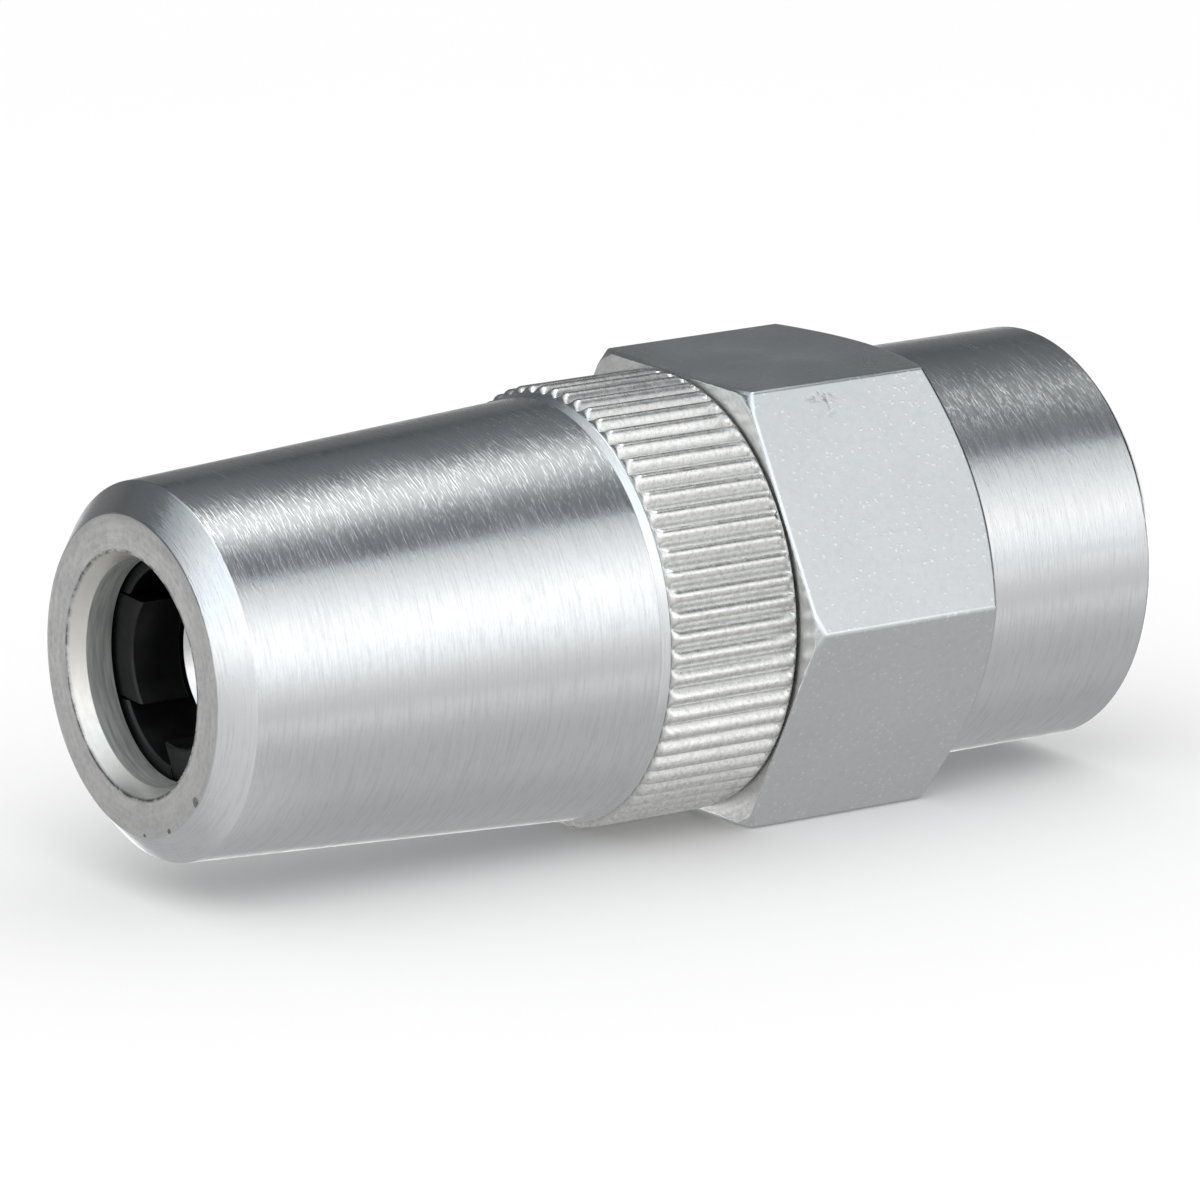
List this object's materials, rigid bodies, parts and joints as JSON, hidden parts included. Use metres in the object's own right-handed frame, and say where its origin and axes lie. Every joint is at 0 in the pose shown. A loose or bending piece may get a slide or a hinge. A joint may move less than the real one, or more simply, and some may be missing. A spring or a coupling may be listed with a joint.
{
  "type": "grease coupler adapter",
  "caption": "Grease coupler for hydraulic nipples: knurled tapered nose sleeve over spring-loaded jaws, hexagon body with a plain collar and an internal inlet thread.",
  "frame": {"origin": "centre of the inlet mouth, in the plane of the collar's rear face", "axes": "+X out of the inlet along the axis, nose towards -X, +Z square to the upper flat of the hexagon"},
  "size_m": [0.0364, 0.0174, 0.015],
  "materials": {
    "zinc_steel": "bright zinc plate over turned steel, fine turning marks",
    "plain_steel": "turned steel",
    "bright_steel": "ground steel",
    "polished_steel": "polished steel",
    "spring_steel": "drawn spring wire",
    "black_steel": "black oxide on hardened steel",
    "seal_rubber": "nitrile rubber",
    "nylon": "natural nylon",
    "backup_plastic": "white fluoropolymer"
  },
  "bodies": {
    "connector": {"hex_body": "zinc_steel", "valve_retainer": "plain_steel", "main_spring": "spring_steel", "check_spring": "spring_steel"},
    "lock_ring": {"sleeve_lock_ring": "nylon"},
    "sleeve": {"nose_sleeve": "zinc_steel"},
    "plunger_group": {"plunger": "bright_steel", "jaw_carrier": "black_steel", "nipple_seal": "seal_rubber", "plunger_packing": "seal_rubber", "packing_backup_ring": "backup_plastic", "jaw_spreader_ring": "spring_steel"},
    "jaw_1": {"jaw_1": "black_steel"},
    "jaw_2": {"jaw_2": "black_steel"},
    "jaw_3": {"jaw_3": "black_steel"},
    "ball": {"check_ball": "polished_steel"}
  },
  "joints": [
    {"name": "sleeve_advance", "type": "slide", "parent": "connector", "child": "lock_ring", "axis": [-1, 0, 0], "range_m": [0, 0.003], "deforming": ["main_spring"]},
    {"name": "sleeve_turn", "type": "hinge", "parent": "lock_ring", "child": "sleeve", "pos_m": [-0.0164, 0, 0], "axis": [-1, 0, 0], "range_deg": [0, 1080]},
    {"name": "plunger_slide", "type": "slide", "parent": "lock_ring", "child": "plunger_group", "axis": [1, 0, 0], "range_m": [0, 0.0021], "stiffness_N_per_m": 2500, "springref_m": -0.003, "deforming": ["jaw_spreader_ring"]},
    {"name": "check_ball_lift", "type": "slide", "parent": "connector", "child": "ball", "axis": [-1, 0, 0], "range_m": [0, 0.0007], "stiffness_N_per_m": 80, "springref_m": -0.0006, "deforming": ["check_spring"]},
    {"name": "jaw_1_slide", "type": "slide", "parent": "lock_ring", "child": "jaw_1", "axis": [0.9511, 0.3086, 0.0162], "range_m": [0, 0.00221]},
    {"name": "jaw_2_slide", "type": "slide", "parent": "lock_ring", "child": "jaw_2", "axis": [0.9511, -0.1683, 0.2592], "range_m": [0, 0.00221]},
    {"name": "jaw_3_slide", "type": "slide", "parent": "lock_ring", "child": "jaw_3", "axis": [0.9511, -0.1403, -0.2753], "range_m": [0, 0.00221]}
  ],
  "couplings": [
    {"joint": "sleeve_turn", "follows": "sleeve_advance", "rad_per_m": 6283.2},
    {"joint": "jaw_1_slide", "follows": "plunger_slide", "ratio": 1.0515},
    {"joint": "jaw_2_slide", "follows": "plunger_slide", "ratio": 1.0515},
    {"joint": "jaw_3_slide", "follows": "plunger_slide", "ratio": 1.0515}
  ]
}
